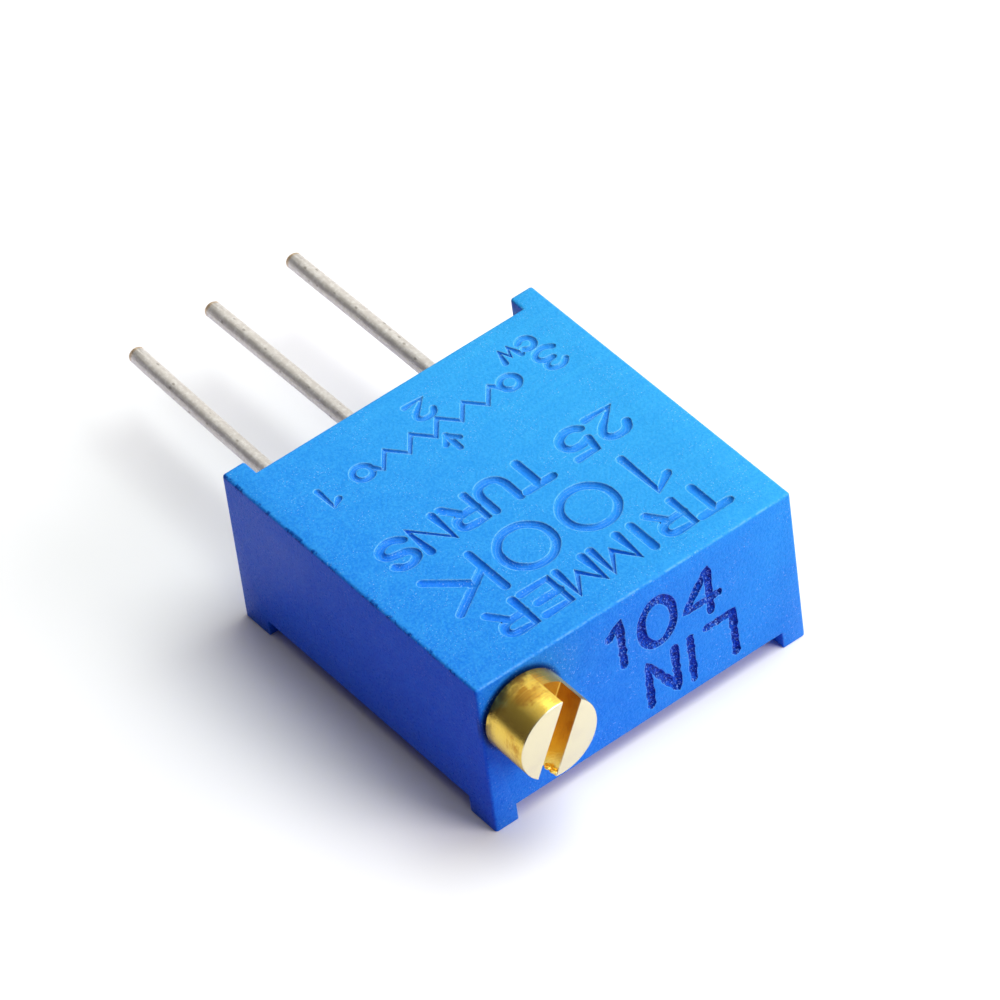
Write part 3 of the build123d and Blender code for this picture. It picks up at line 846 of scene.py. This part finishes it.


# %% [markdown]
# ## Blue moulded plastic
# The case is a filled plastic with a satin surface. Its colour is painted deeper towards the left face and the front,
# as painted shade on the sides that get less light. Close up it has a fine grain, soft mottling and faint flow
# streaks, with bright specks painted on as glints. The pressed marks are painted deeper in tone inside, as painted
# shade, with painted highlights on their rims. The edges where the front, the top and the right side meet carry a
# broken painted highlight. The long top edge on the left is ragged flash painted dark, partly as painted shade, and
# painted shade sits round the screw's head. One flat colour would look like a toy, so each of these is a pattern
# mixed over the last, and the grain is also a bump. The painted rim highlights come from a Bevel node: where it would
# round an edge, its normal leaves the face's own.

# %% Blue plastic
blue = Finish("blue_plastic", Specular_IOR_Level=0.06)
grain = blue.noise(13, 4, 0.65)
mottle = blue.noise(2.6, 3, 0.6)
flow = blue.noise(1.0, 3, 0.55, blue.stretched(0.6, 5.0, 5.0))
# painted shade: the case is painted darker towards its left face and front, the sides that get less light
painted_shade_falloff = (blue.x + half_w) * (0.75 / (2 * half_w)) + (blue.y - front_y) * (0.25 / (rear_y - front_y))
tone = blue.mix(painted_shade_falloff.between(-0.1, 0.9), (0.010, 0.185, 0.71), (0.030, 0.360, 0.79))
tone = blue.mix(flow.between(0.3, 0.7) * 0.22, tone, (0.008, 0.240, 0.76))
tone = blue.mix(mottle.between(0.35, 0.7) * 0.12, tone, (0.06, 0.48, 0.92))
tone = blue.mix(grain.between(0.42, 0.62) * 0.20, tone, (0.08, 0.52, 0.94))
print("plain blue has", len(blue.tree.nodes), "nodes")

# %% Blue plastic: grooves, rims, edges and specks
right_gap, left_gap = half_w - blue.x, blue.x + half_w
front_gap, top_gap = blue.y - front_y, top_z - blue.z
inside = right_gap.between(0.10, 0.14) * left_gap.between(0.10, 0.14) * front_gap.between(0.10, 0.14)
# painted shade: the grooves of the marks are painted darker below the top face
painted_groove_shade = top_gap.between(0.008, 0.07) * (1 - top_gap.between(0.19, 0.20)) * inside
tone = blue.mix(painted_groove_shade * 0.32, tone, (0.000, 0.100, 0.80))
# painted highlight: pale colour on rims and edges where a Bevel node would round them
painted_rim_highlight = blue.edges(0.06) * blue.noise(5.0, 3, 0.6).between(0.30, 0.50)
tone = blue.mix(painted_rim_highlight * 0.75, tone, (0.26, 0.66, 1.00))
# painted highlight along the edges where front, top and right side meet, broken up by noise
edge_highlight_breaks = blue.noise(6.0, 4, 0.7).between(0.40, 0.62)
for gap in (front_gap + top_gap, front_gap + right_gap, right_gap + top_gap):
    tone = blue.mix((1 - gap.between(0.040, 0.062)) * edge_highlight_breaks * 0.45, tone, (0.32, 0.70, 1.00))
# the left top edge: ragged flash, painted dark along its length, partly as painted shade on the unlit edge
ragged_flash_and_shade = (1 - (left_gap + top_gap).between(0.05, 0.12)) * blue.noise(3.0, 4, 0.7).between(0.48, 0.58)
tone = blue.mix(ragged_flash_and_shade * 0.8, tone, (0.000, 0.030, 0.28))
off_x, off_z = blue.x - screw_x, blue.z - screw_z
hole_gap = (off_x * off_x + off_z * off_z).root()
# painted shade on the case's face round and under the screw's head
painted_head_shade = (1 - hole_gap.between(1.10, 1.28)) * (1 - front_gap.between(0.1, 0.2))
tone = blue.mix(painted_head_shade * 0.9, tone, (0.000, 0.012, 0.10))
# painted glints: bright specks standing in for sparkles off the grain
painted_glint_specks = blue.noise(24, 1, 0.5).between(0.66, 0.72) * blue.noise(1.6).between(0.42, 0.6)
tone = blue.mix(painted_glint_specks * 0.45, tone, (0.42, 0.74, 1.00))
blue_plastic = blue.wear(
    Base_Color=tone,
    Roughness=0.22 + grain * 0.14,
    Normal=blue.bump(grain, 0.018, blue.rounded(0.05)),
)
print("blue plastic has", len(blue.tree.nodes), "nodes")

# %% [markdown]
# ### Burnt plastic
# The laser has charred the strokes of the code to a dark, rough blue, with bright specks painted in as glints. A
# finish of its own on those faces is simpler than a mask in the blue plastic, because the faces already end at the
# strokes' edges.

# %% Burnt plastic of the code
burnt = Finish("burnt_plastic", Specular_IOR_Level=0.12)
soot = burnt.noise(12, 3, 0.65)
# painted glints: bright specks in the charred strokes
painted_glints = burnt.noise(20, 2, 0.6).between(0.56, 0.66)
char = burnt.mix(soot.between(0.38, 0.62), (0.000, 0.018, 0.240), (0.003, 0.105, 0.620))
burnt_plastic = burnt.wear(
    Base_Color=burnt.mix(painted_glints * 0.8, char, (0.26, 0.50, 0.95)),
    Roughness=0.2 + soot * 0.3,
    Normal=burnt.bump(soot, 0.04),
)
print("burnt plastic has", len(burnt.tree.nodes), "nodes")

# %% [markdown]
# ## Turned brass
# The head is bright brass with fine rings from the tool on its end and round its side, and brown tarnish in patches.
# Next to the case its side is painted dark in patches, as painted shade and a dark reflection. The milled slot's walls
# are painted from bright yellow at the lower end to dark brown at the upper, as painted shade and light thrown between
# the walls, and the end face is painted pale, as a painted reflection of the white floor. The rings follow the
# distance from the axis, so they run as on a lathe.

# %% Brass
brass = Finish("screw_brass", Metallic=0.78)
off_x, off_z, rings_per_mm = brass.x - screw_x, brass.z - screw_z, 24
radius = (off_x * off_x + off_z * off_z).root()
tool_rings = brass.node("ShaderNodeCombineXYZ", {}, {0: radius * rings_per_mm, 1: brass.y * rings_per_mm})
rings = brass.noise(1.0, 3, 0.6, tool_rings)
stain = brass.noise(1.7, 5, 0.66)
dust = brass.noise(30, 2, 0.5)
# painted reflection: the end face is painted pale, as brass reflecting the white floor
pale_end_reflection = 1 - brass.y.between(head_y + 0.01, head_y + 0.05)
metal = brass.mix(stain.between(0.48, 0.66), (0.88, 0.61, 0.09), (0.56, 0.27, 0.02))
metal = brass.mix(rings.between(0.4, 0.7) * 0.35, metal, (0.90, 0.68, 0.18))
# painted shade and dark reflection: the side is painted dark in patches next to the case
root = brass.y.between(head_back_y - 0.45, head_back_y - 0.05) * stain.between(0.36, 0.56)
metal = brass.mix(root * 0.85, metal, (0.10, 0.05, 0.01))
from_slot = abs(off_x * lean_cos - off_z * lean_sin)
# painted shade: the slot's walls go from bright yellow at the lower end to dark brown at the upper, with light thrown
# between them
slot_walls = (1 - from_slot.between(slot_w / 2, slot_w / 2 + 0.02)) * brass.y.between(head_y + 0.02, head_y + 0.06)
up_slot = (off_x * lean_sin + off_z * lean_cos).between(-1.0, 0.8)
slot_shade_tone = brass.mix(up_slot, (0.98, 0.74, 0.16), (0.62, 0.30, 0.03))
metal = brass.mix(slot_walls * (0.35 + stain * 0.5), metal, slot_shade_tone)
metal = brass.mix(pale_end_reflection * 0.85, metal, (0.83, 0.80, 0.58))
screw_brass = brass.wear(
    Base_Color=metal,
    Roughness=0.10 + rings * 0.10 + stain * 0.10 + dust * 0.05,
    Normal=brass.bump(rings, 0.006, brass.bump(dust, 0.002)),
)
print("brass has", len(brass.tree.nodes), "nodes")

# %% [markdown]
# ## Tinned wire
# The leads have a dull tin coat with marks drawn along the wire, small flecks and pits. At the tip the shears have
# laid the copper bare, so the last tenth of a millimetre is warmer.

# %% Tinned wire
tin = Finish("tinned_wire", Metallic=0.7)
drawn = tin.noise(1.0, 3, 0.6, tin.stretched(16, 1.1, 16))
fleck = tin.noise(9, 3, 0.6)
pit = 1 - tin.cells(3.5, tin.stretched(1, 0.6, 1)).between(0.06, 0.16)
coat = tin.mix(fleck.between(0.4, 0.7), (0.75, 0.71, 0.64), (0.88, 0.85, 0.79))
coat = tin.mix(drawn.between(0.55, 0.75) * 0.4, coat, (0.58, 0.52, 0.44))
coat = tin.mix(pit * 0.6, coat, (0.26, 0.22, 0.17))
cut = (tin.y + fleck * 0.12).between(lead_tip_y - 0.10, lead_tip_y)
tinned_wire = tin.wear(
    Base_Color=tin.mix(cut * 0.8, coat, (0.66, 0.44, 0.20)),
    Roughness=0.34 + fleck * 0.18 + drawn * 0.10,
    Normal=tin.bump(drawn, 0.010, tin.bump(fleck, 0.006)),
)
print("tin has", len(tin.tree.nodes), "nodes")

# %% [markdown]
# ## Cast resin
# The resin is darker than the case and glossy, with slow waves where it set and a few burst bubbles.

# %% Resin finish
cast = Finish("potting_resin", Roughness=0.2, Coat_Weight=0.3, Coat_Roughness=0.08)
ripple = cast.noise(0.7, 2, 0.5)
bubble = cast.cells(1.6).between(0.08, 0.16)
haze = cast.noise(6, 3, 0.6)
body = cast.mix(haze.between(0.35, 0.7), (0.006, 0.040, 0.180), (0.010, 0.065, 0.260))
potting_resin = cast.wear(
    Base_Color=cast.mix((1 - bubble) * 0.5, body, (0.003, 0.015, 0.08)),
    Roughness=0.16 + haze * 0.2,
    Normal=cast.bump(ripple, 0.15, cast.bump(bubble, 0.03)),
)
print("resin has", len(cast.tree.nodes), "nodes")

# %% [markdown]
# ## Finishes inside the case
# The pieces inside are right as the CAD has them, and get a finish each: rubber, stamped steel, natural plastic,
# spring alloy, fired ceramic with its two printed films, and solder. They differ in colour, gloss and size of grain,
# so one recipe of grain, mottle and drawn streaks makes them all.

# %% Inner finishes


def inner_finish(name, low, high, gloss, metallic, grain_scale, grain_depth, streak=(1, 1, 1)):
    """A finish between two colours, with a grain and a gloss that varies with it."""
    finish = Finish(name, Metallic=metallic)
    mottle = finish.noise(grain_scale * 0.3, 3, 0.6, finish.stretched(*streak))
    grit = finish.noise(grain_scale, 3, 0.6, finish.stretched(*streak))
    return finish.wear(
        Base_Color=finish.mix(mottle.between(0.35, 0.65), low, high),
        Roughness=gloss * (0.85 + grit * 0.3),
        Normal=finish.bump(grit, grain_depth),
    )


inner_finishes = {
    "screw_o_ring": inner_finish("seal_rubber", (0.010, 0.010, 0.011), (0.022, 0.022, 0.024), 0.55, 0.0, 16, 0.006),
    "screw_retainer": inner_finish(
        "retainer_steel", (0.46, 0.46, 0.47), (0.62, 0.62, 0.63), 0.32, 1.0, 10, 0.006, (1, 1, 0.1)
    ),
    "worm_wheel": inner_finish("wheel_plastic", (0.74, 0.70, 0.60), (0.82, 0.79, 0.70), 0.45, 0.0, 9, 0.006),
    "wiper_spring": inner_finish(
        "spring_alloy", (0.55, 0.42, 0.22), (0.70, 0.57, 0.34), 0.28, 1.0, 10, 0.005, (0.1, 1, 1)
    ),
    "ceramic_plate": inner_finish("alumina", (0.80, 0.80, 0.77), (0.88, 0.88, 0.86), 0.62, 0.0, 12, 0.008),
    "resistance_track": inner_finish("cermet_film", (0.016, 0.016, 0.018), (0.05, 0.05, 0.052), 0.42, 0.0, 14, 0.01),
    "collector_track": inner_finish("silver_film", (0.48, 0.48, 0.46), (0.62, 0.62, 0.59), 0.42, 1.0, 12, 0.008),
    "solder_joint_1": inner_finish("solder", (0.50, 0.50, 0.50), (0.66, 0.66, 0.66), 0.34, 1.0, 5, 0.02),
}
inner_finishes["end_pad_1"] = inner_finishes["end_pad_3"] = inner_finishes["collector_track"]
inner_finishes["solder_joint_2"] = inner_finishes["solder_joint_3"] = inner_finishes["solder_joint_1"]
for node, finish in inner_finishes.items():
    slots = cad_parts[node].data.materials
    for place in range(len(slots)):
        slots[place] = finish
print("finishes inside:", len(set(inner_finishes.values())))

# %% [markdown]
# ## Finishing the pieces and putting them on their bodies
# Each piece gets its finish, is brought to metres, and is tied to the CAD body that it moves with. The burnt strokes
# are picked by place first: they are the faces a little behind the screw's face, inside the two rows.

# %% Burnt strokes
burn_low, burn_high = Vector((-1.4, front_y + 0.004, 0.7)), Vector((3.2, front_y + 0.25, 4.3))
case.data.materials.clear()
for finish in (blue_plastic, burnt_plastic):
    case.data.materials.append(finish)
burnt_faces = pick(
    case, "FACE", lambda f: all(low < at < high for low, at, high in zip(burn_low, middle(f), burn_high))
)
case.active_material_index = 1
bpy.ops.object.material_slot_assign()
print("burnt faces:", burnt_faces)

# %% Finish and ride
wires = [(wire, tinned_wire) for wire in leads.values()]
for piece, finish in [(screw, screw_brass), (resin, potting_resin)] + wires:
    piece.data.materials.clear()
    piece.data.materials.append(finish)
for piece, slot_name, body, node in (
    (case, "blue_plastic", "case", "housing"),
    (screw, "screw_brass", "screw", "adjusting_screw"),
    (leads[1], "tinned_wire", "case", "terminal_1"),
    (leads[2], "tinned_wire", "case", "terminal_2"),
    (leads[3], "tinned_wire", "case", "terminal_3"),
    (resin, "potting_resin", "case", "potting"),
):
    finished(piece)
    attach(piece, body)
    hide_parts(node)
    print(piece.name, "rides on", body, "in place of", node)

# %% [markdown]
# ## Floor, light and view
# The photograph has a white ground, a soft shadow on the screw's side and no hard highlights. A large soft lamp hangs
# high on the right and a little in front, a weaker one stands low in front, and the world is a pale dome that is dark
# on the left, so that the left face falls into shade. The floor is a little under white and keeps the shadow. The
# light that it throws back is tinted blue, which gives the shaded face its deep blue; only the view and reflections
# see its own tone.

# %% Floor
only(None)
bpy.ops.mesh.primitive_plane_add(size=1.2, location=(0, 0, 0))
floor = place_applied(bpy.context.object)
floor.name = "floor"
paper = Finish("pale_floor", Roughness=0.9, Specular_IOR_Level=0.1)
seen = paper.node("ShaderNodeLightPath", output="Is Camera Ray")
for way in ("Is Glossy Ray", "Is Transmission Ray"):
    seen = seen.math("MAXIMUM", seen, paper.node("ShaderNodeLightPath", output=way))
sheet_tone = paper.mix(paper.noise(0.02, 2, 0.5), (0.945, 0.945, 0.95), (0.96, 0.96, 0.965))
bounce_tone = (0.28, 0.20, 0.84)
floor.data.materials.append(paper.wear(Base_Color=paper.mix(seen, bounce_tone, sheet_tone)))
print("floor has", len(paper.tree.nodes), "nodes")

# %% Lamps


def lamp(name, direction, distance, share, width, length, colour):
    """Soft lamp that faces the part and gives a share of the light on a level white sheet."""
    only(None)
    direction = Vector(direction).normalized()
    bpy.ops.object.light_add(type="AREA", location=direction * distance)
    light = bpy.context.object
    light.name, light.data.shape = name, "RECTANGLE"
    light.data.energy = share * math.pi**2 * distance**2 / direction.z
    light.data.size, light.data.size_y, light.data.color = width, length, colour
    light.rotation_euler = direction.to_track_quat("Z", "Y").to_euler()
    return light


key = lamp("key", (0.34, -0.18, 0.92), 0.55, 0.64, 0.34, 0.36, (0.97, 1.02, 0.99))
front = lamp("front", (0.46, -0.78, 0.42), 0.60, 0.22, 0.30, 0.24, (1.02, 0.96, 1.02))
print("lamps in watts:", [round(light.data.energy, 2) for light in (key, front)])

# %% World
bright_way = Vector((0.62, 0.05, 0.78)).normalized()
dark_side, bright_side = (0.28, (0.03, 0.026, 0.026)), (0.97, (1.00, 0.97, 0.97))
world = bpy.data.worlds.new("studio")
bpy.context.scene.world = world
world.use_nodes = True
dome = Nodes(world.node_tree)
way = dome.node("ShaderNodeTexCoord", output="Generated")
towards = dome.node("ShaderNodeVectorMath", {"operation": "DOT_PRODUCT"}, {0: way, 1: bright_way}, "Value")
glow = dome.node("ShaderNodeValToRGB", {"stops": (dark_side, bright_side)}, {"Fac": towards})
dome.tree.links.new(glow.socket, dome.tree.nodes["Background"].inputs["Color"])
bpy.context.scene.view_settings.view_transform = "Standard"
print("world has", len(dome.tree.nodes), "nodes")
